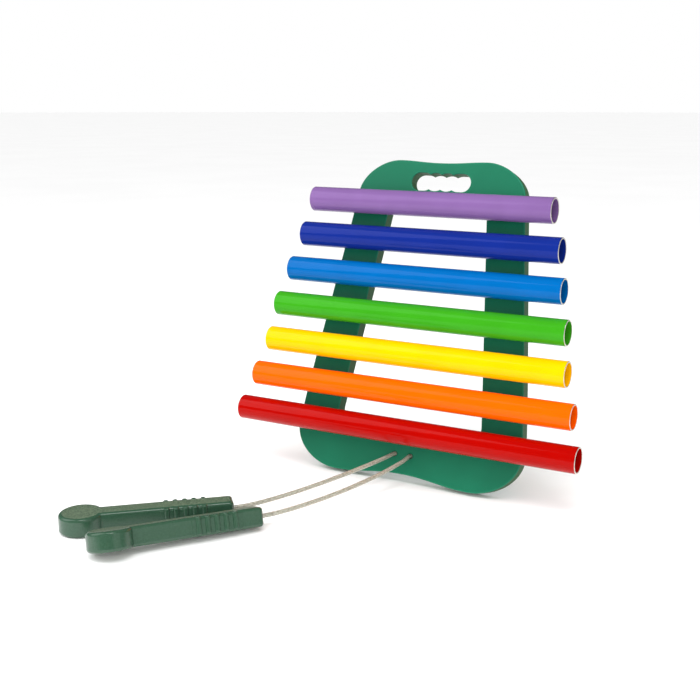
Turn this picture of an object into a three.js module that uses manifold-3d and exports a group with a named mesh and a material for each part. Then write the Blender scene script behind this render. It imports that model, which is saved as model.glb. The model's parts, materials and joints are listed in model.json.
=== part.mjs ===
// A seven-note tube xylophone on a portable panel, with two tethered mallets. Millimetres, +Z up.
//
// The panel leans back. Its tubes run along X, and -Y is the player's side. The origin is on the
// panel's flat back face, on the top bar, which is where the panel is propped or fastened.
// Everything on the panel is laid out in panel axes: x to the right, y through the panel from the
// front (-) to the back face (0), z up the panel from the middle tube.

import * as THREE from "three";
import { mergeVertices } from "three/addons/utils/BufferGeometryUtils.js";
import Module from "manifold-3d";

const wasm = await Module();
wasm.setup();

// ---- driving dimensions ----

const GAP = 0.3; // left between pieces that touch
const LEAN = THREE.MathUtils.degToRad(17);

const TUBE_DIAMETER = 28;
const TUBE_WALL = 1.6;
const TUBE_PITCH = 42.3;
const LOWEST_TUBE_LENGTH = 404;
const NODE_RATIO = 0.276; // a tube's still points, from its middle, as a share of its length
// A free tube's length falls with the square root of its pitch: 24 steps of this rule halve it.
// Each tube was cut a little long or short (trim) and sits a little off its place (x, z).
const TUBES = [
  { name: "red", semitones: 0, trim: 1.8, x: 0, z: 0, colour: 0xc80a0a },
  { name: "orange", semitones: 2, trim: 1.1, x: 1.2, z: 0, colour: 0xff6f00 },
  { name: "yellow", semitones: 4, trim: -0.9, x: 0.9, z: 0, colour: 0xffe600 },
  { name: "green", semitones: 5, trim: -0.7, x: 0.3, z: 0, colour: 0x3fae2a },
  { name: "blue", semitones: 7, trim: -1.7, x: 0.8, z: 0, colour: 0x0a7fd6 },
  { name: "indigo", semitones: 9, trim: -1.7, x: 2.1, z: -0.5, colour: 0x1d2ca3 },
  { name: "violet", semitones: 12, trim: 3.8, x: -1.4, z: -1.3, colour: 0x9263b4 },
];

const PLATE = 16; // thickness of the panel
const PLATE_EDGE = 1.5; // its rounded edges
const SIDE_SLOPE = 0.1285; // how fast the panel narrows towards its top, on each side
const STANDOFF = 7; // from the panel's front face to the back of the tubes
const TUBE_Y = -PLATE - STANDOFF - TUBE_DIAMETER / 2;

const SLOT = { z: 155.5, halfWidth: 36, halfHeight: 10.2, scallop: 14, depth: 1.9 };
const MOUNT_Z = 137; // the origin's height on the panel, between the hand slot and the window

const BOLT = { radius: 3, headRadius: 6, headHeight: 4.2, counterbore: 7, depth: 5.5 };
const CABLE_RADIUS = 2.2;
const CABLE_HOLE = { x: 9.6, z: -153.1, radius: 2.7, mouth: 3.4, mouthDepth: 0.8, rear: 7, rearDepth: 6.5 };

const MALLET = {
  headRadius: 22.3,
  width: 22.2,
  thickness: 19.7,
  reach: 150.6, // from the head's middle to the handle's end
  edge: 3.6,
  corner: 4.5, // of the handle's end, seen from above
  ribs: 5,
  ribPitch: 9.35,
  firstRib: 29.8, // from the handle's end
  ribHeight: 2.3,
  ribFoot: 2, // the ribs' lower ends, over the handle's lower face
  boreRadius: 3.5,
  boreDepth: 20,
};

// ---- solids ----

/** A closed geometry as a manifold-3d solid. */
function solid(geometry) {
  const bare = geometry.clone();
  bare.deleteAttribute("normal");
  bare.deleteAttribute("uv");
  const merged = mergeVertices(bare, 1e-4);
  const vertProperties = new Float32Array(merged.attributes.position.array);
  const triVerts = new Uint32Array(merged.index.array);
  return new wasm.Manifold(new wasm.Mesh({ numProp: 3, vertProperties, triVerts }));
}

/** A solid as a geometry for a mesh. */
function geometryOf(manifold) {
  const { vertProperties, triVerts } = manifold.getMesh();
  const geometry = new THREE.BufferGeometry();
  geometry.setAttribute("position", new THREE.BufferAttribute(new Float32Array(vertProperties), 3));
  geometry.setIndex(new THREE.BufferAttribute(new Uint32Array(triVerts), 1));
  geometry.computeVertexNormals();
  return geometry;
}

/** A round solid about the Y axis, from [radius, y] pairs that go round its section once. */
function turned(section, segments = 16) {
  const points = section.map(([radius, y]) => new THREE.Vector2(radius, y));
  if (points[0].x > 0) points.push(points[0].clone());
  return new THREE.LatheGeometry(points, segments);
}

/** A round cutter or bar about the Y axis, between two heights. */
function bar(radius, low, high, segments = 24, topRadius = radius) {
  return turned([[0, low], [radius, low], [topRadius, high], [0, high]], segments);
}

/** A flat shape drawn in x and z, made solid from y = 0 towards -y, with rounded edges. */
function slab(shape, thickness, edge, edgeSteps, curveSegments) {
  const geometry = new THREE.ExtrudeGeometry(shape, {
    depth: thickness - 2 * edge,
    bevelThickness: edge,
    bevelSize: edge,
    bevelOffset: -edge,
    bevelSegments: edgeSteps,
    curveSegments,
  });
  return geometry.translate(0, 0, edge).rotateX(Math.PI / 2);
}

// ---- materials ----

function finish(color, roughness, metalness = 0) {
  return new THREE.MeshStandardMaterial({ color, roughness, metalness });
}

const looks = {
  panel: () => finish(0x1f6b4c, 0.5),
  rubber: () => finish(0x1c1c1c, 0.8),
  zinc: () => finish(0xb9bcc0, 0.35, 0.9),
  aluminium: () => finish(0xc4c4c2, 0.4, 0.9),
  cable: () => finish(0xb9b4a6, 0.4, 0.4),
  mallet: () => finish(0x3f5f49, 0.55),
};

function piece(name, geometry, material) {
  const mesh = new THREE.Mesh(geometry, material);
  mesh.name = name;
  return mesh;
}

// ---- the panel ----

/** How far the panel's outer edge is from its middle line, at a height z. */
function sideAt(z) {
  return 119.8 - SIDE_SLOPE * z;
}

/** Half of the panel's outline from the bottom middle to the top middle, on the right (1) or the
 * reverse of the left (-1) half. Each row is a curve: two handles and an end. */
function halfOutline() {
  return [
    [[36, -174.6], [48, -181.3], [82, -181.3]],
    [[112, -181.3], [141, -158.5], [sideAt(-131), -131]],
    [[130, -60], [111, 60], [sideAt(142), 142]],
    [[99.7, 162], [75, 179.6], [53, 179.6]],
    [[34, 179.6], [24, 177.3], [0, 177.3]],
  ];
}

function panelOutline() {
  const shape = new THREE.Shape();
  shape.moveTo(0, -174.6);
  const half = halfOutline();
  for (const [a, b, end] of half) shape.bezierCurveTo(...a, ...b, ...end);
  // the left half is the same curves, mirrored and run backwards
  for (let i = half.length - 1; i >= 0; i--) {
    const [a, b] = half[i];
    const end = i > 0 ? half[i - 1][2] : [0, -174.6];
    shape.bezierCurveTo(-b[0], b[1], -a[0], a[1], -end[0], end[1]);
  }
  return shape;
}

/** The window between the two limbs, as an outline with rounded corners. */
function windowOutline() {
  const top = 129;
  const bottom = -120;
  const insideAt = (z) => 74.4 - 0.12 * z;
  const corners = [
    { x: insideAt(bottom), z: bottom, radius: 11 },
    { x: insideAt(top), z: top, radius: 13 },
    { x: -insideAt(top), z: top, radius: 13 },
    { x: -insideAt(bottom), z: bottom, radius: 11 },
  ];
  const path = new THREE.Path();
  corners.forEach((corner, i) => {
    const here = new THREE.Vector2(corner.x, corner.z);
    const last = corners[(i + 3) % 4];
    const next = corners[(i + 1) % 4];
    const from = new THREE.Vector2(last.x, last.z).sub(here).setLength(corner.radius).add(here);
    const to = new THREE.Vector2(next.x, next.z).sub(here).setLength(corner.radius).add(here);
    if (i === 0) path.moveTo(from.x, from.y);
    else path.lineTo(from.x, from.y);
    path.quadraticCurveTo(here.x, here.y, to.x, to.y);
  });
  path.closePath();
  return path;
}

/** The hand slot: round ends, and four finger scallops along its top and its bottom. */
function slotOutline() {
  const { z, halfWidth, halfHeight, scallop, depth } = SLOT;
  const arcRadius = ((scallop / 2) ** 2 + depth ** 2) / (2 * depth);
  const halfAngle = Math.asin(scallop / 2 / arcRadius);
  const endX = halfWidth - halfHeight;
  const path = new THREE.Path();
  path.moveTo(endX, z + halfHeight);
  for (const side of [1, -1]) {
    const middle = side * Math.PI / 2;
    const centreZ = z + side * (halfHeight - arcRadius);
    for (const place of [1.5, 0.5, -0.5, -1.5]) {
      const from = place === 1.5 ? 0 : -halfAngle;
      const to = place === -1.5 ? 0 : halfAngle;
      path.absarc(side * place * scallop, centreZ, arcRadius, middle + from, middle + to, false);
    }
    path.absarc(-side * endX, z, halfHeight, middle, middle + Math.PI, false);
  }
  path.closePath();
  return path;
}

/** Where a tube is fixed to the panel, on the right (1) or left (-1) limb. */
function fixing(tube, side) {
  return { x: tube.x + side * NODE_RATIO * tube.length, z: tube.z };
}

function panelPlate(tubes) {
  const outline = panelOutline();
  outline.holes.push(windowOutline(), slotOutline());
  let plate = solid(slab(outline, PLATE, PLATE_EDGE, 1, 7));
  const cut = (geometry, x, z) => {
    plate = plate.subtract(solid(geometry.translate(x, 0, z)));
  };
  for (const tube of tubes) {
    for (const side of [-1, 1]) {
      const { x, z } = fixing(tube, side);
      cut(bar(BOLT.radius + GAP, -PLATE - 1, 1, 8), x, z);
      cut(bar(BOLT.counterbore, -BOLT.depth, 1, 12), x, z);
    }
  }
  const hole = CABLE_HOLE;
  for (const x of [-hole.x, hole.x]) {
    cut(bar(hole.radius, -PLATE - 1, 1, 12), x, hole.z);
    cut(bar(hole.rear, -hole.rearDepth, 1, 16), x, hole.z);
    cut(bar(hole.mouth, -PLATE - 0.1, -PLATE + hole.mouthDepth, 12, hole.radius), x, hole.z);
  }
  return piece("panel_plate", geometryOf(plate), looks.panel());
}

// ---- tubes and their fixings ----

function tubePiece(tube) {
  const outer = TUBE_DIAMETER / 2;
  const inner = outer - TUBE_WALL;
  const half = tube.length / 2;
  const section = [[inner, -half], [outer, -half], [outer, half], [inner, half]];
  let body = solid(turned(section, 32).rotateZ(-Math.PI / 2));
  for (const side of [-1, 1]) {
    const hole = bar(4.7, 5, outer + 2, 8).translate(fixing(tube, side).x - tube.x, 0, 0);
    body = body.subtract(solid(hole));
  }
  const mesh = piece(`tube_${tube.number}_${tube.name}`, geometryOf(body), finish(tube.colour, 0.25, 0.3));
  mesh.position.set(tube.x, TUBE_Y, tube.z);
  return mesh;
}

/** A rubber saddle that holds a tube off the panel. */
function spacer() {
  const bore = BOLT.radius + GAP;
  const face = -PLATE - GAP;
  const ring = turned([[bore, face], [bore, -24], [10, -24], [10, face]], 16);
  const tube = bar(TUBE_DIAMETER / 2 + GAP, -20, 20, 32).rotateZ(Math.PI / 2).translate(0, TUBE_Y, 0);
  const recess = bar(6, -30, -PLATE - STANDOFF + 1.4, 10);
  return geometryOf(solid(ring).subtract(solid(tube)).subtract(solid(recess)));
}

/** A button-head screw from the back, with a hexagon socket. */
function screw() {
  const head = -BOLT.depth + GAP;
  const end = TUBE_Y + 6;
  const profile = [
    [0, head + BOLT.headHeight],
    [4.6, head + BOLT.headHeight],
    [BOLT.headRadius, head + 2.4],
    [BOLT.headRadius, head],
    [BOLT.radius, head],
    [BOLT.radius, end],
    [0, end],
  ];
  const socket = bar(2.3, head + 1.8, head + BOLT.headHeight + 1, 6);
  return geometryOf(solid(turned(profile.reverse(), 12)).subtract(solid(socket)));
}

/** The threaded insert in a tube's back wall, with its flange outside and its bulge inside. */
function insert() {
  const back = TUBE_Y + TUBE_DIAMETER / 2;
  const bore = BOLT.radius + GAP;
  return turned(
    [
      [bore, back - 9],
      [4.4, back - 9],
      [4.4, back - 4.4],
      [5.3, back - 3.6],
      [4.4, back - 2.8],
      [4.4, back + GAP],
      [5.5, back + GAP],
      [5.5, back + 1.1],
      [bore, back + 1.1],
    ],
    8,
  );
}

/** Every fixing is the same three pieces, at each tube's two still points. */
function fixings(tubes) {
  const shapes = { spacer: spacer(), screw: screw(), insert: insert() };
  const materials = { spacer: looks.rubber, screw: looks.zinc, insert: looks.zinc };
  const meshes = [];
  for (const tube of tubes) {
    for (const [side, word] of [[-1, "left"], [1, "right"]]) {
      const { x, z } = fixing(tube, side);
      for (const kind of Object.keys(shapes)) {
        const mesh = piece(`${kind}_${tube.number}_${word}`, shapes[kind], materials[kind]());
        mesh.position.set(x, 0, z);
        meshes.push(mesh);
      }
    }
  }
  return meshes;
}

/** The washer and crimped sleeve that stop a cable behind the panel. */
function cableStop(label, x) {
  const floor = -CABLE_HOLE.rearDepth;
  const low = floor + 1.6;
  const inner = CABLE_RADIUS + GAP;
  const washer = turned([[inner, floor + GAP], [6.2, floor + GAP], [6.2, low - GAP], [inner, low - GAP]]);
  const sleeve = turned([[inner, low], [4, low], [4, -0.8], [inner, -0.8]], 12);
  const meshes = [
    piece(`stop_washer_${label}`, washer, looks.zinc()),
    piece(`stop_sleeve_${label}`, sleeve, looks.aluminium()),
  ];
  for (const mesh of meshes) mesh.position.set(x, 0, CABLE_HOLE.z);
  return meshes;
}

// ---- mallets and their cables, in the part's own axes ----

const HUMP_Z = -181.3; // the panel stands on the two humps of its bottom edge
const GROUND = (HUMP_Z + PLATE_EDGE - MOUNT_Z) * Math.cos(LEAN) + PLATE_EDGE * Math.sin(LEAN) - PLATE_EDGE;

/** A mallet seen from above: its handle along +x from a round head. */
function malletOutline() {
  const { headRadius, width, reach, corner } = MALLET;
  const half = width / 2;
  const neck = Math.asin(half / headRadius);
  const shape = new THREE.Shape();
  shape.absarc(0, 0, headRadius, neck, 2 * Math.PI - neck, false);
  shape.absarc(reach - corner, -half + corner, corner, -Math.PI / 2, 0, false);
  shape.absarc(reach - corner, half - corner, corner, 0, Math.PI / 2, false);
  shape.closePath();
  return shape;
}

/** A grip rib: an upright bar on one narrow side of the handle, level with its upper face. */
function malletRib(x, side) {
  const { width, thickness, ribPitch, ribHeight, ribFoot } = MALLET;
  const half = width / 2;
  const root = half - MALLET.edge;
  const crest = half + ribHeight;
  const shape = new THREE.Shape();
  shape.moveTo(-0.36 * ribPitch, root);
  shape.lineTo(0.36 * ribPitch, root);
  shape.lineTo(0.17 * ribPitch, crest);
  shape.lineTo(-0.17 * ribPitch, crest);
  shape.closePath();
  const rib = new THREE.ExtrudeGeometry(shape, { depth: thickness - GAP - ribFoot, bevelEnabled: false });
  if (side < 0) rib.rotateZ(Math.PI);
  return rib.translate(x, 0, ribFoot);
}

function malletGeometry() {
  const { thickness, edge, reach, ribs, ribPitch, firstRib, boreRadius, boreDepth } = MALLET;
  let body = solid(slab(malletOutline(), thickness, edge, 2, 12).rotateX(-Math.PI / 2));
  for (let i = 0; i < ribs; i++) {
    for (const side of [-1, 1]) body = body.add(solid(malletRib(reach - firstRib - i * ribPitch, side)));
  }
  const bore = bar(boreRadius, -boreDepth, 1, 12).rotateZ(-Math.PI / 2).translate(reach, 0, thickness / 2);
  return geometryOf(body.subtract(solid(bore)));
}

/** The sleeve crimped on a cable's end, inside the handle. */
function ferruleGeometry() {
  const { reach, boreRadius, thickness } = MALLET;
  const sleeve = turned([[0, -19], [boreRadius - 0.4, -19], [boreRadius - 0.4, -4], [0, -4]], 12);
  return sleeve.rotateZ(-Math.PI / 2).translate(reach, 0, thickness / 2);
}

// Each mallet lies where its cable lets it: the place of its head's middle over the ground, the way
// its handle points from there, and the small roll and tip that the stiff cable gives it.
// A cable runs from its stop behind the panel, straight through its hole and down to the handle.
const MALLETS = [
  {
    label: "a",
    head: [-217.7, -377.5, 0.2],
    heading: 41,
    roll: 0,
    tip: 0.6,
    holeX: -CABLE_HOLE.x,
    route: [
      [-9.6, -85.4, -277.2],
      [-9.6, -94.8, -274.3],
      [-9.6, -101, -272.4],
      [-13.9, -114.9, -273.9],
      [-18.8, -128.6, -275.4],
      [-24.2, -142, -277],
      [-29.9, -155.3, -278.6],
      [-35.9, -168.4, -280.3],
      [-42.1, -181.3, -281.9],
      [-48.6, -194.2, -283.6],
      [-55.4, -207, -285.2],
      [-62.4, -219.6, -286.8],
      [-69.7, -232.1, -288.3],
      [-77.4, -244.4, -289.7],
      [-85.5, -256.4, -291],
      [-94.2, -268.1, -292],
      [-104.1, -278.8, -292.6],
      [-106.8, -281.1, -292.6],
    ],
  },
  {
    label: "b",
    head: [-152.0, -409.6, 5.5],
    heading: 54.7,
    roll: -17,
    tip: -1.2,
    holeX: CABLE_HOLE.x,
    route: [
      [9.6, -85.4, -277.2],
      [9.6, -94.8, -274.3],
      [9.6, -101, -272.4],
      [7.5, -115.2, -274.8],
      [4.2, -129.1, -276.8],
      [0.3, -142.8, -278.8],
      [-4.2, -156.3, -280.7],
      [-9.1, -169.7, -282.5],
      [-14.4, -183, -284.2],
      [-19.9, -196.2, -285.8],
      [-25.7, -209.2, -287.3],
      [-31.8, -222.2, -288.7],
      [-38.2, -235.1, -289.9],
      [-44.7, -247.9, -291],
      [-51.7, -260.5, -291.9],
      [-58.9, -273, -292.4],
      [-66.8, -285.2, -292.4],
      [-68.9, -288.1, -292.3],
    ],
  },
];

/** A mallet's cable: one plain tube along its route. */
function cablePiece({ label, route }) {
  const path = new THREE.CatmullRomCurve3(route.map((point) => new THREE.Vector3(...point)));
  const corners = [];
  for (let i = 0; i < 8; i++) {
    const angle = (i / 8) * 2 * Math.PI;
    corners.push(new THREE.Vector2(Math.cos(angle), Math.sin(angle)).multiplyScalar(CABLE_RADIUS));
  }
  const section = new THREE.Shape(corners);
  const tube = new THREE.ExtrudeGeometry(section, { steps: 30, extrudePath: path });
  return piece(`cable_${label}`, tube, looks.cable());
}

function malletPieces(mallet, body, ferrule) {
  const group = new THREE.Group();
  const [x, y, z] = mallet.head;
  group.position.set(x, y, GROUND + z);
  group.rotation.set(
    THREE.MathUtils.degToRad(mallet.roll),
    THREE.MathUtils.degToRad(-mallet.tip),
    THREE.MathUtils.degToRad(mallet.heading),
    "ZYX",
  );
  group.add(piece(`mallet_${mallet.label}`, body, looks.mallet()));
  group.add(piece(`handle_ferrule_${mallet.label}`, ferrule, looks.aluminium()));
  return group;
}

// ---- the whole object ----

const tubes = TUBES.map((tube, i) => ({
  ...tube,
  number: i + 1,
  length: LOWEST_TUBE_LENGTH * 2 ** (-tube.semitones / 24) + tube.trim,
  z: (i - 3) * TUBE_PITCH + tube.z,
}));

const panel = new THREE.Group();
panel.rotation.x = -LEAN;
panel.position.set(0, -MOUNT_Z * Math.sin(LEAN), -MOUNT_Z * Math.cos(LEAN));
panel.add(panelPlate(tubes), ...tubes.map(tubePiece), ...fixings(tubes));

const malletBody = malletGeometry();
const ferrule = ferruleGeometry();
const xylophone = new THREE.Group();
xylophone.add(panel);
for (const mallet of MALLETS) {
  panel.add(...cableStop(mallet.label, mallet.holeX));
  xylophone.add(malletPieces(mallet, malletBody, ferrule), cablePiece(mallet));
}

export default xylophone;
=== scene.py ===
import json
import math

import bmesh
import bpy
from mathutils import Matrix, Vector
from mathutils.geometry import tessellate_polygon


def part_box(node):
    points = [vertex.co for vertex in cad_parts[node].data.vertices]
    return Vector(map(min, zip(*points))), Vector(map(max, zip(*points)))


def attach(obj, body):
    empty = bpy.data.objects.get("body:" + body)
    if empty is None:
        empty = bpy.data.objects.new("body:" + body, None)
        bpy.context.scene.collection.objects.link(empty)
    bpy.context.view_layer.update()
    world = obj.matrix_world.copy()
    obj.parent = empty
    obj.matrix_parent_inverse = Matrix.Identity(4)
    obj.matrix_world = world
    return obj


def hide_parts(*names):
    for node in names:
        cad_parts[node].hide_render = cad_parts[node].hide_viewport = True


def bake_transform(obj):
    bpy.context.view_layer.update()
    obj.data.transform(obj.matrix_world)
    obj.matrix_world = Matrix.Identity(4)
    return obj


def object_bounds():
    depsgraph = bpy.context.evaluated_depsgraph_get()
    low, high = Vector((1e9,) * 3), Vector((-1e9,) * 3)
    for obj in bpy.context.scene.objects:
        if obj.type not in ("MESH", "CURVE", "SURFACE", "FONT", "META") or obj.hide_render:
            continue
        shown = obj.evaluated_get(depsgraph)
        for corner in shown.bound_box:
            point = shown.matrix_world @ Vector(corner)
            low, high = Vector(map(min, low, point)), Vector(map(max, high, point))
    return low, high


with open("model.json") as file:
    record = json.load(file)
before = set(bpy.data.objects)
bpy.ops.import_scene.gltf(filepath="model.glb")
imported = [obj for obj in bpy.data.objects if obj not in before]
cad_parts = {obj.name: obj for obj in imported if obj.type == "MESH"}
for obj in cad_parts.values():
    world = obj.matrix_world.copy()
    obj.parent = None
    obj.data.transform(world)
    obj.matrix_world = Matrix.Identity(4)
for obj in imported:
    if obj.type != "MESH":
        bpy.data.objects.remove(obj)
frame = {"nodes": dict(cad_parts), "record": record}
cad_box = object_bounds()

# ---- sizes, in metres; places come from the frame ----

GROUND = cad_box[0].z
BACK = Vector(frame["record"]["mounts"][0]["axis"]).normalized()  # out of the panel's back face
UP = Vector((0, -BACK.z, BACK.y))  # up the panel
RIGHT = Vector((1, 0, 0))

TUBES = ["red", "orange", "yellow", "green", "blue", "indigo", "violet"]
TUBE_RADIUS = 0.014
TUBE_WALL = 0.0016
PLATE = 0.016
PLATE_EDGE = 0.0013
COUNTERBORE = 0.007  # the radius of every recess in the panel's back
BOLT = {"radius": 0.003, "head": 0.006, "hole": 0.0033, "recess": 0.0055}
CABLE_RADIUS = 0.0022
CABLE_HOLE = {"x": 0.0096, "z": -0.1531, "radius": 0.0027, "mouth": 0.0034, "recess": 0.0065}

HEAD_RADIUS = 0.0223
HANDLE_WIDTH = 0.0222
MALLET_THICKNESS = 0.0197
HANDLE_REACH = 0.1506
MALLET_EDGE = 0.0036
MALLET_CORNER = 0.0045
MALLET_BORE = {"radius": 0.0027, "mouth": 0.0034, "depth": 0.020}

# the grip: five ribs on a low pad, on each narrow side of a handle, placed from the handle's end
RIBS, FIRST_RIB, RIB_PITCH, PAD_MIDDLE = 5, 0.0298, 0.00935, 0.0487
RIB = {"root_half": 0.0042, "crest_half": 0.0020, "height": 0.0023, "drop": 0.0002, "edge": 0.0016}
PAD = {"root_half": 0.0255, "crest_half": 0.0252, "height": 0.0004, "drop": 0.0026, "edge": 0.0004}

# the mallets: the head's middle over the ground, and in degrees the handle's heading, roll and tip
MALLETS = {
    "a": {"head": (-0.2177, -0.3775, 0.0002), "heading": 41.0, "roll": 0.0, "tip": 0.6},
    "b": {"head": (-0.1520, -0.4096, 0.0055), "heading": 54.7, "roll": -17.0, "tip": -1.2},
}

# the cables, from behind the panel through their holes to the handles
ROUTES = {
    "a": [
        (-0.0096, -0.0854, -0.2772), (-0.0096, -0.0948, -0.2743), (-0.0096, -0.1010, -0.2724),
        (-0.0139, -0.1149, -0.2739), (-0.0188, -0.1286, -0.2754), (-0.0242, -0.1420, -0.2770),
        (-0.0299, -0.1553, -0.2786), (-0.0359, -0.1684, -0.2803), (-0.0421, -0.1813, -0.2819),
        (-0.0486, -0.1942, -0.2836), (-0.0554, -0.2070, -0.2852), (-0.0624, -0.2196, -0.2868),
        (-0.0697, -0.2321, -0.2883), (-0.0774, -0.2444, -0.2897), (-0.0855, -0.2564, -0.2910),
        (-0.0942, -0.2681, -0.2920), (-0.1041, -0.2788, -0.2926), (-0.1068, -0.2811, -0.2926),
    ],
    "b": [
        (0.0096, -0.0854, -0.2772), (0.0096, -0.0948, -0.2743), (0.0096, -0.1010, -0.2724),
        (0.0075, -0.1152, -0.2748), (0.0042, -0.1291, -0.2768), (0.0003, -0.1428, -0.2788),
        (-0.0042, -0.1563, -0.2807), (-0.0091, -0.1697, -0.2825), (-0.0144, -0.1830, -0.2842),
        (-0.0199, -0.1962, -0.2858), (-0.0257, -0.2092, -0.2873), (-0.0318, -0.2222, -0.2887),
        (-0.0382, -0.2351, -0.2899), (-0.0447, -0.2479, -0.2910), (-0.0517, -0.2605, -0.2919),
        (-0.0589, -0.2730, -0.2924), (-0.0668, -0.2852, -0.2924), (-0.0689, -0.2881, -0.2923),
    ],
}
TAIL = 0.034  # the last stretch of a cable, which bends to the handle
PATH_STEP = 0.0011  # between two points of a cable's path
HINGE_POINT, BENT_POINT = 14, 79  # the points where the bend at the hole starts and ends
HELD_POINTS = 4  # the last points of a tail, at the handle

CUT_PAST = 0.001  # how far a cutter reaches out of what it cuts
FILLET_STEPS = 4


def middle_of(node):
    low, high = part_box(node)
    return (low + high) / 2


# the panel's own axes: x to the right, y towards its back from the back face, z up from tube 4
PANEL = Matrix((RIGHT, BACK, UP)).transposed().to_4x4()
PANEL.translation = UP * middle_of("tube_4_green").dot(UP)


# ---- small tools ----

def add_object(name, mesh):
    thing = bpy.data.objects.new(name, mesh)
    bpy.context.scene.collection.objects.link(thing)
    return thing


def mesh_from(name, bm, materials=(), matrix=None):
    """An object from a bmesh, moved into the row frame."""
    if matrix is not None:
        bmesh.ops.transform(bm, matrix=matrix, verts=bm.verts)
    bmesh.ops.recalc_face_normals(bm, faces=bm.faces)
    mesh = bpy.data.meshes.new(name)
    bm.to_mesh(mesh)
    bm.free()
    for material in materials:
        mesh.materials.append(material)
    return add_object(name, mesh)


def add_bmesh(target, extra):
    """Puts one bmesh's faces into another and frees the first."""
    mesh = bpy.data.meshes.new("part")
    bmesh.ops.recalc_face_normals(extra, faces=extra.faces)
    extra.to_mesh(mesh)
    extra.free()
    target.from_mesh(mesh)
    bpy.data.meshes.remove(mesh)


def apply_modifiers(thing):
    graph = bpy.context.evaluated_depsgraph_get()
    mesh = bpy.data.meshes.new_from_object(thing.evaluated_get(graph), depsgraph=graph)
    thing.modifiers.clear()
    thing.data = mesh


def combine(thing, other, operation):
    """Cuts another object from this one, or joins it, and removes the other."""
    modifier = thing.modifiers.new("combine", "BOOLEAN")
    modifier.operation = operation
    modifier.solver = "EXACT"
    modifier.object = other
    apply_modifiers(thing)
    bpy.data.objects.remove(other)


def shade(thing, degrees):
    """Smooth shading with sharp creases, and flat faces kept flat."""
    mesh = thing.data
    bm = bmesh.new()
    bm.from_mesh(mesh)
    limit = math.radians(degrees)
    for face in bm.faces:
        face.smooth = True
    for edge in bm.edges:
        edge.smooth = edge.is_manifold and edge.calc_face_angle(0) < limit
    bm.to_mesh(mesh)
    bm.free()
    modifier = thing.modifiers.new("normals", "WEIGHTED_NORMAL")
    modifier.keep_sharp = True
    modifier.weight = 80
    apply_modifiers(thing)
    return thing


def filleted(points):
    """A profile with rounded corners, from (radius, height, fillet) rows in order round it."""
    rounded = []
    count = len(points)
    for i, (r, h, fillet) in enumerate(points):
        here = Vector((r, h))
        if fillet == 0:
            rounded.append(here)
            continue
        back = (Vector(points[i - 1][:2]) - here).normalized()
        ahead = (Vector(points[(i + 1) % count][:2]) - here).normalized()
        half = back.angle(ahead) / 2
        reach = fillet / math.tan(half)
        centre = here + (back + ahead).normalized() * (fillet / math.sin(half))
        start = here + back * reach - centre
        end = here + ahead * reach - centre
        for k in range(FILLET_STEPS + 1):
            mixed = start.lerp(end, k / FILLET_STEPS).normalized() * fillet
            rounded.append(centre + mixed)
    return rounded


def turned(profile, segments, material_of=None):
    """A bmesh turned about the Y axis from a profile that goes round its section once."""
    bm = bmesh.new()
    rings = []
    for r, h in profile:
        if r < 1e-7:
            rings.append([bm.verts.new((0, h, 0))])
            continue
        ring = []
        for k in range(segments):
            angle = 2 * math.pi * k / segments
            ring.append(bm.verts.new((r * math.cos(angle), h, r * math.sin(angle))))
        rings.append(ring)
    closed = len(rings[0]) > 1
    for i in range(len(rings) if closed else len(rings) - 1):
        a, b = rings[i], rings[(i + 1) % len(rings)]
        for k in range(segments):
            n = (k + 1) % segments
            corners = [a[k], a[n], b[n], b[k]] if len(a) > 1 and len(b) > 1 else None
            if corners is None:
                corners = [a[0], b[n], b[k]] if len(b) > 1 else [a[k], a[n], b[0]]
            face = bm.faces.new(corners)
            if material_of:
                face.material_index = material_of(i)
    return bm


def bezier(start, a, b, end, steps):
    """Points along one curve, without its first."""
    points = []
    for k in range(1, steps + 1):
        t = k / steps
        u = 1 - t
        points.append(u ** 3 * start + 3 * u * u * t * a + 3 * u * t * t * b + t ** 3 * end)
    return points


def arc(centre, radius, start, end, steps):
    """Points along an arc, both ends included, with angles in radians."""
    points = []
    for k in range(steps + 1):
        angle = start + (end - start) * k / steps
        points.append(Vector((centre[0] + radius * math.cos(angle), centre[1] + radius * math.sin(angle))))
    return points


def without_repeats(points):
    kept = []
    for point in points:
        if not kept or (point - kept[-1]).length > 1e-5:
            kept.append(point)
    if (kept[0] - kept[-1]).length < 1e-5:
        kept.pop()
    return kept


def inset(outline, distance):
    """A closed outline moved to its left by a distance, with mitred corners."""
    moved = []
    count = len(outline)
    for i, here in enumerate(outline):
        before = (here - outline[i - 1]).normalized()
        after = (outline[(i + 1) % count] - here).normalized()
        left = Vector((-before.y - after.y, before.x + after.x))
        left /= max(left.length, 1e-9)
        lean = max(left.dot(Vector((-after.y, after.x))), 0.3)
        moved.append(here + left * (distance / lean))
    return moved


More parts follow.
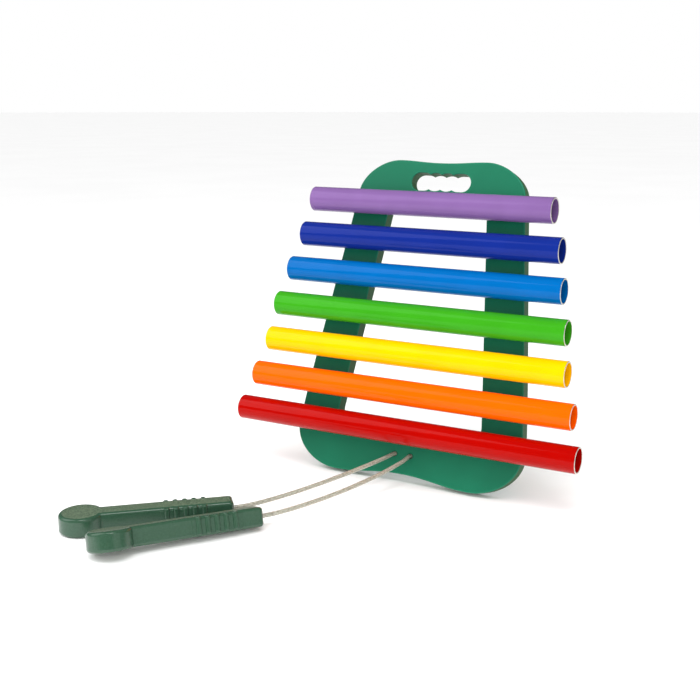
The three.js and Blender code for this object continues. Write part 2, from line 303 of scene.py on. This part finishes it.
def slab(outlines, thickness, edge, steps, materials):
    """A plate from outlines drawn in x and z, solid to the left of each: the first runs round the
    outside and the rest round holes. It reaches from y = 0 to -thickness, with rounded edges.
    The three materials are those of its faces, its rounded edges and its sides."""
    bm = bmesh.new()
    bevel = [k * math.pi / 2 / steps for k in range(steps + 1)]
    levels = [(edge * (1 - math.sin(a)), -edge * (1 - math.cos(a))) for a in bevel]
    levels += [(x, -thickness - y) for x, y in reversed(levels)]
    fronts, backs = [], []
    for outline in outlines:
        rings = []
        for distance, y in levels:
            rings.append([bm.verts.new((p.x, y, p.y)) for p in inset(outline, distance)])
        for i in range(len(rings) - 1):
            a, b = rings[i], rings[i + 1]
            for k in range(len(a)):
                n = (k + 1) % len(a)
                face = bm.faces.new((a[k], a[n], b[n], b[k]))
                face.material_index = materials[2] if i == steps else materials[1]
        backs.append(rings[0])
        fronts.append(rings[-1])
    for loops in (fronts, backs):
        corners = [v for loop in loops for v in loop]
        flat = [[Vector((v.co.x, v.co.z, 0)) for v in loop] for loop in loops]
        for triangle in tessellate_polygon(flat):
            face = bm.faces.new([corners[i] for i in triangle])
            face.material_index = materials[0]
    return bm


def length_of(points):
    return sum((b - a).length for a, b in zip(points, points[1:]))


def path_along(route, spacing):
    """Evenly spaced points on a smooth curve through a route."""
    fine = 24  # points tried on each stretch of the route
    points = [Vector(p) for p in route]
    points = [2 * points[0] - points[1]] + points + [2 * points[-1] - points[-2]]
    dense = []
    for i in range(1, len(points) - 2):
        p = points[i - 1:i + 3]
        knots = [0.0]
        for k in range(3):
            knots.append(knots[-1] + math.sqrt((p[k + 1] - p[k]).length))
        for k in range(fine):
            t = knots[1] + (knots[2] - knots[1]) * k / fine
            a = [p[j].lerp(p[j + 1], (t - knots[j]) / (knots[j + 1] - knots[j])) for j in range(3)]
            b = [a[j].lerp(a[j + 1], (t - knots[j]) / (knots[j + 2] - knots[j])) for j in range(2)]
            dense.append(b[0].lerp(b[1], (t - knots[1]) / (knots[2] - knots[1])))
    dense.append(points[-2])
    lengths = [0.0]
    for a, b in zip(dense, dense[1:]):
        lengths.append(lengths[-1] + (b - a).length)
    count = round(lengths[-1] / spacing)
    even, i = [], 0
    for k in range(count + 1):
        target = lengths[-1] * k / count
        while i < len(dense) - 2 and lengths[i + 1] < target:
            i += 1
        even.append(dense[i].lerp(dense[i + 1], (target - lengths[i]) / (lengths[i + 1] - lengths[i])))
    return even


# ---- materials ----

class Shader:
    """A principled material and a few of the nodes that it is often given."""

    def __init__(self, name, **values):
        self.material = bpy.data.materials.new(name)
        self.material.use_nodes = True
        self.tree = self.material.node_tree
        self.shader = self.tree.nodes["Principled BSDF"]
        for key, value in values.items():
            self.shader.inputs[key.replace("_", " ")].default_value = value

    def node(self, kind, inputs):
        made = self.tree.nodes.new(kind)
        for key, value in inputs.items():
            socket = made.inputs[key]
            if isinstance(value, bpy.types.NodeSocket):
                self.tree.links.new(value, socket)
            else:
                socket.default_value = value
        return made

    def link(self, output, name):
        self.tree.links.new(output, self.shader.inputs[name])

    def noise(self, scale, detail, roughness=0.5):
        place = self.node("ShaderNodeTexCoord", {}).outputs["Object"]
        inputs = {"Vector": place, "Scale": scale, "Detail": detail, "Roughness": roughness}
        return self.node("ShaderNodeTexNoise", inputs).outputs["Fac"]

    def ramp(self, value, stops):
        made = self.node("ShaderNodeValToRGB", {"Fac": value})
        ramp = made.color_ramp
        ramp.interpolation = "EASE"
        while len(ramp.elements) < len(stops):
            ramp.elements.new(0.5)
        for element, (at, tint) in zip(ramp.elements, stops):
            element.position = at
            element.color = tint
        return made.outputs["Color"]

    def between(self, value, low, high):
        inputs = {"Value": value, "To Min": low, "To Max": high}
        return self.node("ShaderNodeMapRange", inputs).outputs["Result"]

    def bump(self, height, strength, distance):
        inputs = {"Height": height, "Strength": strength, "Distance": distance}
        return self.node("ShaderNodeBump", inputs).outputs["Normal"]


def colour(red, green, blue):
    """A linear colour from one given in 0 to 255."""
    def linear(c):
        c /= 255
        return c / 12.92 if c <= 0.04045 else ((c + 0.055) / 1.055) ** 2.4
    return (linear(red), linear(green), linear(blue), 1)


def tinted(base, factor):
    """A colour made lighter or darker."""
    return tuple(min(c * factor, 1) for c in base[:3]) + (1,)


def panel_material(name, base, roughness, sawn=False):
    """Coloured polyethylene sheet, with a fine orange peel on its faces or saw marks on its sides."""
    s = Shader(name, Roughness=roughness, Specular_IOR_Level=0.2)
    cloud = s.noise(14, 4)
    s.link(s.ramp(cloud, [(0.3, tinted(base, 0.93)), (0.7, tinted(base, 1.06))]), "Base Color")
    s.link(s.between(s.noise(60, 4), roughness - 0.06, roughness + 0.06), "Roughness")
    if sawn:
        s.link(s.bump(s.noise(420, 3), 0.35, 0.0003), "Normal")
    else:
        s.link(s.bump(s.noise(900, 2), 0.12, 0.0002), "Normal")
    return s.material


def coat_material(name, base):
    """Gloss powder coat: a faint orange peel under an even gloss that takes up some of its colour."""
    strongest = max(base[:3])
    tint = [0.4 + 0.6 * c / strongest for c in base[:3]]
    s = Shader(name, Roughness=0.1, Specular_IOR_Level=0.25, Specular_Tint=(*tint, 1))
    s.link(s.ramp(s.noise(25, 3), [(0.35, tinted(base, 0.97)), (0.65, tinted(base, 1.02))]), "Base Color")
    s.link(s.bump(s.noise(260, 2), 0.05, 0.0002), "Normal")
    return s.material


def metal_material(name, base, roughness, scratch=0.1):
    """Bare metal with fine turning marks."""
    s = Shader(name, Metallic=1.0, Roughness=roughness)
    s.link(s.ramp(s.noise(300, 3), [(0.3, tinted(base, 0.85)), (0.7, tinted(base, 1.1))]), "Base Color")
    s.link(s.between(s.noise(900, 3), roughness - 0.08, roughness + 0.12), "Roughness")
    s.link(s.bump(s.noise(1500, 2), scratch, 0.0001), "Normal")
    return s.material


def rubber_material(name):
    s = Shader(name, Roughness=0.75)
    s.link(s.ramp(s.noise(120, 4), [(0.3, colour(24, 24, 24)), (0.7, colour(38, 38, 38))]), "Base Color")
    s.link(s.bump(s.noise(1200, 2), 0.2, 0.0002), "Normal")
    return s.material


def mallet_material(name, dark, light, roughness, grain, specular, relief):
    """Moulded plastic, speckled and grained at a scale, with the depth of its grain in relief."""
    s = Shader(name, Roughness=roughness, Specular_IOR_Level=specular)
    speckle = s.noise(grain, 2.5, roughness=0.65)
    s.link(s.ramp(speckle, [(0.36, dark), (0.64, light)]), "Base Color")
    s.link(s.between(s.noise(90, 3), roughness - 0.04, roughness + 0.06), "Roughness")
    s.link(s.bump(speckle, relief, 0.0003), "Normal")
    return s.material


def cable_material(name):
    """Steel wires under a thin clear sleeve."""
    s = Shader(name, Metallic=0.2, Roughness=0.35, Coat_Weight=0.6, Coat_Roughness=0.12)
    stops = [(0.35, colour(120, 117, 102)), (0.65, colour(190, 187, 172))]
    s.link(s.ramp(s.noise(1000, 3), stops), "Base Color")
    return s.material


COLOURS = {
    "red": colour(156, 3, 0),
    "orange": colour(238, 90, 0),
    "yellow": colour(240, 178, 0),
    "green": colour(50, 142, 22),
    "blue": colour(0, 89, 156),
    "indigo": colour(15, 36, 118),
    "violet": colour(114, 84, 136),
}

LOOKS = {
    "panel_face": panel_material("panel_face", colour(12, 100, 72), 0.45),
    # the rounded edges are painted a lighter green than the faces: a painted highlight along the panel's
    # edges
    "panel_edge_highlight": panel_material("panel_edge_highlight", colour(26, 110, 82), 0.35),
    "panel_side": panel_material("panel_side", colour(54, 92, 60), 0.6, sawn=True),
    "rubber": rubber_material("black_rubber"),
    "zinc": metal_material("zinc_plated_steel", colour(196, 198, 202), 0.32),
    "aluminium": metal_material("bare_aluminium", colour(212, 208, 198), 0.38, 0.2),
    "cable": cable_material("steel_cable"),
    "mallet_face": mallet_material(
        "mallet_face", colour(34, 62, 44), colour(103, 119, 95),
        roughness=0.5, grain=850, specular=0.5, relief=0.3,
    ),
    "mallet_side": mallet_material(
        "mallet_side", colour(36, 67, 48), colour(51, 80, 62),
        roughness=0.18, grain=1300, specular=0.5, relief=0.06,
    ),
}
for tube_colour in TUBES:
    LOOKS[tube_colour] = coat_material(f"{tube_colour}_powder_coat", COLOURS[tube_colour])


# ---- the camera, at the height of the tubes and to their right ----

def make_camera():
    data = bpy.data.cameras.new("camera")
    data.sensor_width = 36
    data.lens = 54.2
    camera = add_object("camera", data)
    camera.location = (0.4865, -1.1061, 0.1112)
    camera.rotation_euler = [math.radians(a) for a in (76.7, 0, 28.8)]
    bpy.context.scene.camera = camera


# ---- the cables ----

def rope(name, path):
    """Six wires laid round a core, as one skin along a path."""
    bm = bmesh.new()
    around, wires, lay = 36, 6, 0.024
    valley, swell = 0.87, 0.18  # of the radius, between two wires and at the top of one
    tangent = (path[1] - path[0]).normalized()
    side = tangent.orthogonal().normalized()
    rings, run = [], 0.0
    for i, point in enumerate(path):
        if i:
            run += (point - path[i - 1]).length
        ahead = (path[min(i + 1, len(path) - 1)] - path[max(i - 1, 0)]).normalized()
        side = (side - ahead * side.dot(ahead)).normalized()
        other = ahead.cross(side)
        ring = []
        for k in range(around):
            angle = 2 * math.pi * k / around
            lobe = abs(math.sin(wires / 2 * (angle - 2 * math.pi * run / lay)))
            radius = CABLE_RADIUS * (valley + swell * lobe)
            offset = side * math.cos(angle) + other * math.sin(angle)
            ring.append(bm.verts.new(point + offset * radius))
        rings.append(ring)
    for a, b in zip(rings, rings[1:]):
        for k in range(around):
            n = (k + 1) % around
            bm.faces.new((a[k], a[n], b[n], b[k]))
    bm.faces.new(rings[0])
    bm.faces.new(rings[-1])
    return shade(mesh_from(name, bm, [LOOKS["cable"]]), 50)


def make_cable(label):
    """A run that bends at the hole, and a tail that bends to the handle."""
    path = path_along(ROUTES[label], PATH_STEP)
    split = round(len(path) * (1 - TAIL / length_of(path)))
    run, tail = path[:split + 1], path[split:]
    for kind, points, bodies, start, end in (
        ("run", run, ("frame", f"rope_{label}"), path[HINGE_POINT], path[BENT_POINT]),
        ("tail", tail, (f"rope_{label}", f"mallet_{label}"), tail[0], path[-HELD_POINTS]),
    ):
        piece = rope(f"cable_{label}_{kind}", points)
        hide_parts(f"cable_{label}")
        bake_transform(piece)


make_camera()
for mallet_label in MALLETS:
    make_cable(mallet_label)


# ---- the panel ----

def panel_outline():
    def side_at(z):
        return 0.1198 - 0.1285 * z

    # from the middle of the foot up the right side: two controls and the end of each stretch
    half = [
        ((0.036, -0.1746), (0.048, -0.1813), (0.082, -0.1813)),
        ((0.112, -0.1813), (0.141, -0.1585), (side_at(-0.131), -0.131)),
        ((0.130, -0.060), (0.111, 0.060), (side_at(0.142), 0.142)),
        ((0.0997, 0.162), (0.075, 0.1796), (0.053, 0.1796)),
        ((0.034, 0.1796), (0.024, 0.1773), (0.0, 0.1773)),
    ]
    right = [Vector((0, -0.1746))]
    for curve in half:
        a, b, end = [Vector(p) for p in curve]
        right += bezier(right[-1], a, b, end, 28)
    left = [Vector((-p.x, p.y)) for p in reversed(right)]
    return without_repeats(right + left)


def window_outline():
    """Round its corners, clockwise, so that the plate is on the left."""
    top, bottom = 0.129, -0.120

    def inside_at(z):
        return 0.0744 - 0.12 * z

    corners = [
        (Vector((-inside_at(bottom), bottom)), 0.011),
        (Vector((-inside_at(top), top)), 0.013),
        (Vector((inside_at(top), top)), 0.013),
        (Vector((inside_at(bottom), bottom)), 0.011),
    ]
    points = []
    for i, (here, radius) in enumerate(corners):
        last, ahead = corners[i - 1][0], corners[(i + 1) % 4][0]
        start = here + (last - here).normalized() * radius
        end = here + (ahead - here).normalized() * radius
        points.append(start)
        points += bezier(start, start.lerp(here, 2 / 3), end.lerp(here, 2 / 3), end, 14)
    return without_repeats(points)


def slot_outline():
    """Round ends and four finger scallops along each side, clockwise."""
    middle, half_width, half_height = 0.1555, 0.036, 0.0102
    scallop, depth = 0.014, 0.0019
    radius = ((scallop / 2) ** 2 + depth ** 2) / (2 * depth)
    spread = math.asin(scallop / 2 / radius)
    end_x = half_width - half_height
    points = []
    for side in (1, -1):
        facing = side * math.pi / 2
        centre = middle + side * (half_height - radius)
        for place in (-1.5, -0.5, 0.5, 1.5):
            start = 0 if place == -1.5 else spread
            end = 0 if place == 1.5 else -spread
            points += arc((side * place * scallop, centre), radius, facing + start, facing + end, 9)
        points += arc((side * end_x, middle), half_height, facing, facing - math.pi, 24)
    return without_repeats(points)


def bored(profile, x, z):
    """A turned cutter at a place on the panel."""
    bm = turned(filleted(profile), 40)
    bmesh.ops.translate(bm, vec=(x, 0, z), verts=bm.verts)
    return bm


def on_panel(point):
    """A row-frame point in the panel's axes."""
    return PANEL.inverted() @ point


def fixing_places():
    places = {}
    for number in range(1, 8):
        for word in ("left", "right"):
            places[f"{number}_{word}"] = on_panel(middle_of(f"spacer_{number}_{word}"))
    return places


FIXINGS = fixing_places()


def recess(depth, hole):
    """A cutter's profile, from behind the panel to the floor of a recess with a chamfered rim."""
    rim = COUNTERBORE + 0.0007
    return [
        (0, CUT_PAST, 0), (rim, CUT_PAST, 0), (rim, 0.0003, 0), (COUNTERBORE, -0.0005, 0),
        (COUNTERBORE, -depth, 0.0004), (hole, -depth, 0),
    ]


def make_panel():
    outlines = [panel_outline(), window_outline(), slot_outline()]
    looks = [LOOKS["panel_face"], LOOKS["panel_edge_highlight"], LOOKS["panel_side"]]
    panel = mesh_from("panel", slab(outlines, PLATE, PLATE_EDGE, 5, (0, 1, 2)), looks)
    front = -PLATE - CUT_PAST
    bolt = recess(BOLT["recess"], BOLT["hole"]) + [(BOLT["hole"], front, 0), (0, front, 0)]
    tether = recess(CABLE_HOLE["recess"], CABLE_HOLE["radius"]) + [
        (CABLE_HOLE["radius"], -PLATE + 0.0007, 0.0005), (CABLE_HOLE["mouth"], -PLATE - 0.0001, 0),
        (CABLE_HOLE["mouth"], front, 0), (0, front, 0),
    ]
    cutter = bmesh.new()
    for place in FIXINGS.values():
        add_bmesh(cutter, bored(bolt, place.x, place.z))
    for x in (-CABLE_HOLE["x"], CABLE_HOLE["x"]):
        add_bmesh(cutter, bored(tether, x, CABLE_HOLE["z"]))
    combine(panel, mesh_from("cutter", cutter), "DIFFERENCE")
    panel.data.transform(PANEL)
    shade(panel, 40)
    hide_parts("panel_plate")
    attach(panel, "frame")


# ---- the tubes ----

def make_tube(number, name):
    node = f"tube_{number}_{name}"
    low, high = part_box(node)
    half = (high.x - low.x) / 2
    inner = TUBE_RADIUS - TUBE_WALL
    profile = filleted([
        (inner, -half, 0.00025), (TUBE_RADIUS, -half, 0.0004),
        (TUBE_RADIUS, half, 0.0004), (inner, half, 0.00025),
    ])
    # half of the profile's points go round each end, and the rims between them are bare metal
    end_points = 2 * (FILLET_STEPS + 1)
    rims = set(range(end_points - 1)) | set(range(end_points, 2 * end_points - 1))
    bm = turned(profile, 112, lambda i: 1 if i in rims else 0)
    bmesh.ops.rotate(bm, matrix=Matrix.Rotation(-math.pi / 2, 3, "Z"), verts=bm.verts)
    long_edges = [e for e in bm.edges if e.calc_length() > half]
    bmesh.ops.subdivide_edges(bm, edges=long_edges, cuts=12, use_grid_fill=True)
    tube = mesh_from(node.replace("tube", "pipe"), bm, [LOOKS[name], LOOKS["aluminium"]])
    middle = on_panel((low + high) / 2)
    cutter = bmesh.new()
    hole_radius, inside, outside = 0.0047, 0.005, 0.016  # for an insert, in the tube's back wall
    for word in ("left", "right"):
        place = FIXINGS[f"{number}_{word}"]
        hole = turned([(0, inside), (hole_radius, inside), (hole_radius, outside), (0, outside)], 32)
        bmesh.ops.translate(hole, vec=(place.x - middle.x, 0, 0), verts=hole.verts)
        add_bmesh(cutter, hole)
    combine(tube, mesh_from("cutter", cutter), "DIFFERENCE")
    tube.data.transform(PANEL @ Matrix.Translation(middle))
    shade(tube, 40)
    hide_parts(node)
    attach(tube, "frame")
    return middle


# ---- their fixings ----

def spacer_mesh(name, place, tube_middle):
    """A rubber saddle: flat on the panel, hollowed to the tube's round back."""
    bm = bmesh.new()
    around = 64
    bore, outer, edge, gap = BOLT["hole"], 0.010, 0.0008, 0.00015
    foot = -PLATE - gap

    def top(angle, radius):
        off_axis = radius * math.sin(angle)
        return tube_middle.y + math.sqrt((TUBE_RADIUS + gap) ** 2 - off_axis ** 2)

    loops = [[] for _ in range(10)]
    for k in range(around):
        angle = 2 * math.pi * k / around
        rows = [
            (bore, foot), (outer - edge, foot), (outer - edge * 0.3, foot - edge * 0.3),
            (outer, foot - edge),
            (outer, top(angle, outer) + edge), (outer - edge * 0.3, top(angle, outer) + edge * 0.25),
            (outer - edge, top(angle, outer - edge)), (0.0075, top(angle, 0.0075)),
            (0.005, top(angle, 0.005)), (bore, top(angle, bore)),
        ]
        for loop, (radius, y) in zip(loops, rows):
            loop.append(bm.verts.new((radius * math.cos(angle), y, radius * math.sin(angle))))
    for i in range(len(loops)):
        a, b = loops[i], loops[(i + 1) % len(loops)]
        for k in range(around):
            n = (k + 1) % around
            bm.faces.new((a[k], a[n], b[n], b[k]))
    matrix = PANEL @ Matrix.Translation((place.x, 0, place.z))
    return mesh_from(name, bm, [LOOKS["rubber"]], matrix)


def screw_mesh(name, place, tube_middle):
    """A button-head screw with a hexagon socket and a threaded shank."""
    radius, head_radius = BOLT["radius"], BOLT["head"]
    head, end = -BOLT["recess"] + 0.0003, tube_middle.y + 0.006
    rows = [
        (0, head + 0.0042, 0), (0.0036, head + 0.0042, 0.0012), (head_radius, head + 0.0016, 0.0006),
        (head_radius, head, 0.0002), (radius, head, 0),
    ]
    pitch, thread_depth = 0.001, 0.0004
    thread_top = -PLATE - 0.004
    while thread_top - pitch > end:
        rows.append((radius, thread_top, 0))
        rows.append((radius - thread_depth, thread_top - pitch / 2, 0))
        thread_top -= pitch
    rows += [(0.0029, thread_top, 0), (0.0023, end, 0), (0, end, 0)]
    screw = mesh_from(name, turned(filleted(rows), 40), [LOOKS["zinc"]])
    socket = turned([
        (0, head + 0.0016), (0.0019, head + 0.0021), (0.0023, head + 0.0052), (0, head + 0.0052),
    ], 6)
    combine(screw, mesh_from("cutter", socket), "DIFFERENCE")
    screw.data.transform(PANEL @ Matrix.Translation((place.x, 0, place.z)))
    return screw


def insert_mesh(name, place, tube_middle):
    """A flanged threaded insert, bulged behind the tube's wall."""
    back = tube_middle.y + TUBE_RADIUS
    rows = [
        (0.0032, back - 0.009, 0), (0.0044, back - 0.009, 0.0003), (0.0044, back - 0.0044, 0),
        (0.0053, back - 0.0036, 0.0005), (0.0044, back - 0.0028, 0), (0.0044, back + 0.0002, 0),
        (0.0055, back + 0.0002, 0.0002), (0.0055, back + 0.0010, 0.0003), (0.0032, back + 0.0010, 0),
    ]
    matrix = PANEL @ Matrix.Translation((place.x, 0, place.z))
    return mesh_from(name, turned(filleted(rows), 40), [LOOKS["zinc"]], matrix)


def make_fixings(number, tube_middle):
    kinds = {
        "spacer": (spacer_mesh, "saddle", "black_rubber"),
        "screw": (screw_mesh, "bolt", "zinc_steel"),
        "insert": (insert_mesh, "nut", "zinc_steel"),
    }
    for word in ("left", "right"):
        for kind, (make, short, slot) in kinds.items():
            key = f"{number}_{word}"
            piece = shade(make(f"{short}_{key}", FIXINGS[key], tube_middle), 40)
            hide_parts(f"{kind}_{key}")
            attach(piece, "frame")


def make_cable_stop(label, x):
    """The washer and crimped sleeve that hold a cable behind the panel."""
    floor = -CABLE_HOLE["recess"]
    washer = turned(filleted([
        (0.0025, floor + 0.0001, 0.0001), (0.0062, floor + 0.0001, 0.0002),
        (0.0062, floor + 0.0013, 0.0003), (0.0025, floor + 0.0013, 0.0002),
    ]), 48)
    sleeve = turned(filleted([
        (0.00235, floor + 0.0014, 0), (0.0040, floor + 0.0014, 0.0003), (0.0040, floor + 0.0022, 0),
        (0.0036, floor + 0.0028, 0.0006), (0.0036, floor + 0.0044, 0.0006), (0.0040, -0.0014, 0),
        (0.0040, -0.0008, 0.0004), (0.00235, -0.0008, 0),
    ]), 48)
    matrix = PANEL @ Matrix.Translation((x, 0, CABLE_HOLE["z"]))
    for kind, bm, look, slot in (
        ("washer", washer, "zinc", "zinc_steel"),
        ("sleeve", sleeve, "aluminium", "crimped_aluminium"),
    ):
        piece = shade(mesh_from(f"cable_{kind}_{label}", bm, [LOOKS[look]], matrix), 40)
        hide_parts(f"stop_{kind}_{label}")
        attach(piece, "frame")


# ---- the mallets ----

def mallet_outline():
    """Seen from above, anticlockwise: the handle along +x from a round head."""
    half = HANDLE_WIDTH / 2
    neck = math.asin(half / HEAD_RADIUS)
    corner = MALLET_CORNER
    end = HANDLE_REACH - corner
    points = arc((0, 0), HEAD_RADIUS, neck, 2 * math.pi - neck, 120)
    start_x = points[-1].x
    steps = 40
    points += [Vector((start_x + (end - start_x) * k / steps, -half)) for k in range(1, steps)]
    points += arc((end, -half + corner), corner, -math.pi / 2, 0, 8)
    points += arc((end, half - corner), corner, 0, math.pi / 2, 8)
    points += [Vector((end + (start_x - end) * k / steps, half)) for k in range(1, steps)]
    return without_repeats(points)


def rib_mesh(x, side, root_half, crest_half, height, drop, edge):
    """A rib or the pad: an upright bar on a narrow side of the handle, with soft edges, whose top
    is a drop under the handle's upper face."""
    bm = bmesh.new()
    bmesh.ops.create_cube(bm, size=1)
    foot, top = 0.0020, MALLET_THICKNESS - drop
    root, crest = HANDLE_WIDTH / 2 - MALLET_EDGE, HANDLE_WIDTH / 2 + height
    for v in bm.verts:
        outer = v.co.y > 0
        v.co.x = math.copysign(crest_half if outer else root_half, v.co.x)
        v.co.y = crest if outer else root
        v.co.z = (top if v.co.z > 0 else foot) - MALLET_THICKNESS / 2
    bmesh.ops.bevel(bm, geom=bm.edges[:], offset=edge, segments=5, profile=0.5, affect="EDGES")
    if side < 0:
        bmesh.ops.rotate(bm, matrix=Matrix.Rotation(math.pi, 3, "Z"), verts=bm.verts)
    bmesh.ops.translate(bm, vec=(x, 0, 0), verts=bm.verts)
    return bm


def make_mallet(label, head, heading, roll, tip):
    bm = slab([mallet_outline()], MALLET_THICKNESS, MALLET_EDGE, 7, (0, 1, 1))
    turn = Matrix.Rotation(-math.pi / 2, 4, "X") @ Matrix.Translation((0, MALLET_THICKNESS / 2, 0))
    bmesh.ops.transform(bm, matrix=turn, verts=bm.verts)
    looks = [LOOKS["mallet_face"], LOOKS["mallet_side"]]
    mallet = mesh_from(f"beater_{label}", bm, looks)
    pads, ribs = bmesh.new(), bmesh.new()
    for side in (-1, 1):
        add_bmesh(pads, rib_mesh(HANDLE_REACH - PAD_MIDDLE, side, **PAD))
        for i in range(RIBS):
            add_bmesh(ribs, rib_mesh(HANDLE_REACH - FIRST_RIB - i * RIB_PITCH, side, **RIB))
    for grip in (pads, ribs):
        for face in grip.faces:
            face.material_index = 1
        combine(mallet, mesh_from("grip", grip, looks), "UNION")
    radius, mouth, depth = MALLET_BORE["radius"], MALLET_BORE["mouth"], MALLET_BORE["depth"]
    bore = turned([
        (0, -depth), (radius, -depth), (radius, -0.0006), (mouth, 0.0002),
        (mouth, CUT_PAST), (0, CUT_PAST),
    ], 40)
    bmesh.ops.rotate(bore, matrix=Matrix.Rotation(-math.pi / 2, 3, "Z"), verts=bore.verts)
    bmesh.ops.translate(bore, vec=(HANDLE_REACH, 0, 0), verts=bore.verts)
    combine(mallet, mesh_from("cutter", bore), "DIFFERENCE")
    place = Matrix.Translation((head[0], head[1], GROUND + head[2]))
    place @= Matrix.Rotation(math.radians(heading), 4, "Z")
    place @= Matrix.Rotation(math.radians(-tip), 4, "Y")
    place @= Matrix.Rotation(math.radians(roll), 4, "X")
    place @= Matrix.Translation((0, 0, MALLET_THICKNESS / 2))
    mallet.data.transform(place)
    shade(mallet, 35)
    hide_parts(f"mallet_{label}")
    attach(mallet, f"mallet_{label}")


def finish_ferrules():
    for label in MALLETS:
        node = frame["nodes"][f"handle_ferrule_{label}"]
        for slot in node.material_slots:
            slot.material = LOOKS["aluminium"]


# ---- the floor and the lights ----

def make_floor():
    bm = bmesh.new()
    bmesh.ops.create_circle(bm, cap_ends=True, segments=96, radius=40)
    s = Shader("pale_floor", Roughness=0.8)
    stops = [(0.3, (0.95, 0.95, 0.95, 1)), (0.7, (0.97, 0.97, 0.97, 1))]
    s.link(s.ramp(s.noise(2, 3), stops), "Base Color")
    floor = mesh_from("floor", bm, [s.material])
    floor.location.z = GROUND - 0.0002


def aimed(light, location, target):
    light.location = location
    light.rotation_euler = (Vector(target) - Vector(location)).to_track_quat("-Z", "Y").to_euler()


def make_softbox(name, location, width, height, power, in_gloss=True):
    data = bpy.data.lights.new(name, "AREA")
    data.shape = "RECTANGLE"
    data.size = width
    data.size_y = height
    data.energy = power
    box = add_object(name, data)
    box.visible_glossy = in_gloss
    aimed(box, location, (0, -0.1, -0.13))


def make_studio():
    """A broad soft light overhead, four softboxes, and pale walls that gloss hardly picks up."""
    data = bpy.data.lights.new("overhead", "SUN")
    data.energy = 0.95
    data.angle = math.radians(90)
    overhead = add_object("overhead", data)
    aimed(overhead, (-0.2, -0.4, 1.5), (0, 0, 0))
    overhead.visible_glossy = False
    make_softbox("key_left", (-1.2, -1.0, 1.0), 1.3, 1.6, 14)
    make_softbox("high", (0.4, -0.9, 1.5), 0.8, 0.5, 11)
    make_softbox("fill_right", (1.7, -0.8, 0.6), 1.4, 1.4, 5)
    make_softbox("front", (0.2, -2.3, 0.2), 1.8, 1.0, 22, in_gloss=False)
    world = bpy.data.worlds.new("studio")
    world.use_nodes = True
    tree = world.node_tree
    seen = tree.nodes.new("ShaderNodeLightPath")
    lit = tree.nodes["Background"].outputs["Background"]
    tree.nodes["Background"].inputs["Strength"].default_value = 0.8
    for ray, strength in (("Is Glossy Ray", 0.12), ("Is Camera Ray", 1.0)):
        wall = tree.nodes.new("ShaderNodeBackground")
        wall.inputs["Strength"].default_value = strength
        mix = tree.nodes.new("ShaderNodeMixShader")
        tree.links.new(seen.outputs[ray], mix.inputs["Fac"])
        tree.links.new(lit, mix.inputs[1])
        tree.links.new(wall.outputs["Background"], mix.inputs[2])
        lit = mix.outputs["Shader"]
    for wall in tree.nodes:
        if wall.bl_idname == "ShaderNodeBackground":
            wall.inputs["Color"].default_value = (1, 1, 1, 1)
    tree.links.new(lit, tree.nodes["World Output"].inputs["Surface"])
    bpy.context.scene.world = world
    bpy.context.scene.view_settings.view_transform = "Standard"


make_panel()
for tube_number, tube_name in enumerate(TUBES, 1):
    make_fixings(tube_number, make_tube(tube_number, tube_name))
for mallet_label, pose in MALLETS.items():
    make_mallet(mallet_label, **pose)
    make_cable_stop(mallet_label, CABLE_HOLE["x"] * (-1 if mallet_label == "a" else 1))
finish_ferrules()
make_floor()
make_studio()
